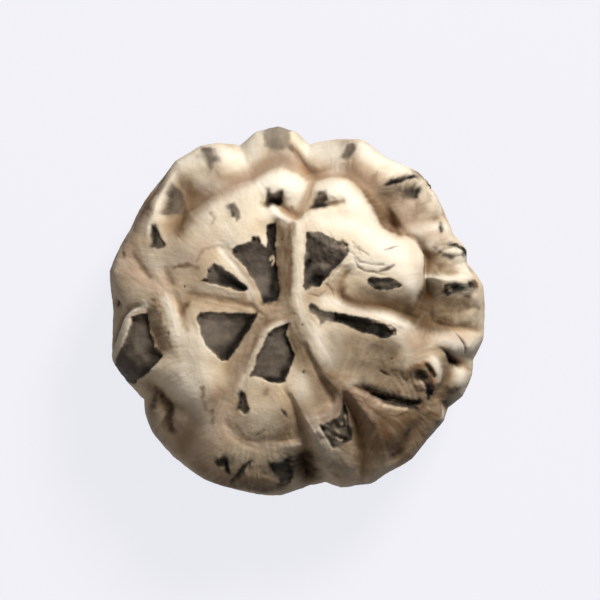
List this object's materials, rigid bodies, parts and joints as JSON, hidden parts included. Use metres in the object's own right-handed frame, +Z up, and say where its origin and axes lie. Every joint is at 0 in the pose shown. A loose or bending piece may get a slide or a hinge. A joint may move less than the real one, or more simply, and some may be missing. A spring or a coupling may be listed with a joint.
{
  "type": "dried shiitake mushroom",
  "caption": "Dried shiitake mushroom with a low cracked cap, dark skin patches between pale ridges, a rolled scalloped rim, gills and a short trimmed stem that it stands on.",
  "frame": {"origin": "middle of the stem's flat cut end, which stands on the table", "axes": "+Z up through the stem to the crown; +Y is away from the viewer and +X to the viewer's right in the view from above"},
  "size_m": [0.0467, 0.046, 0.0231],
  "materials": {
    "flesh": "matte"
  },
  "bodies": {
    "root": {"mushroom": "flesh"}
  },
  "joints": []
}
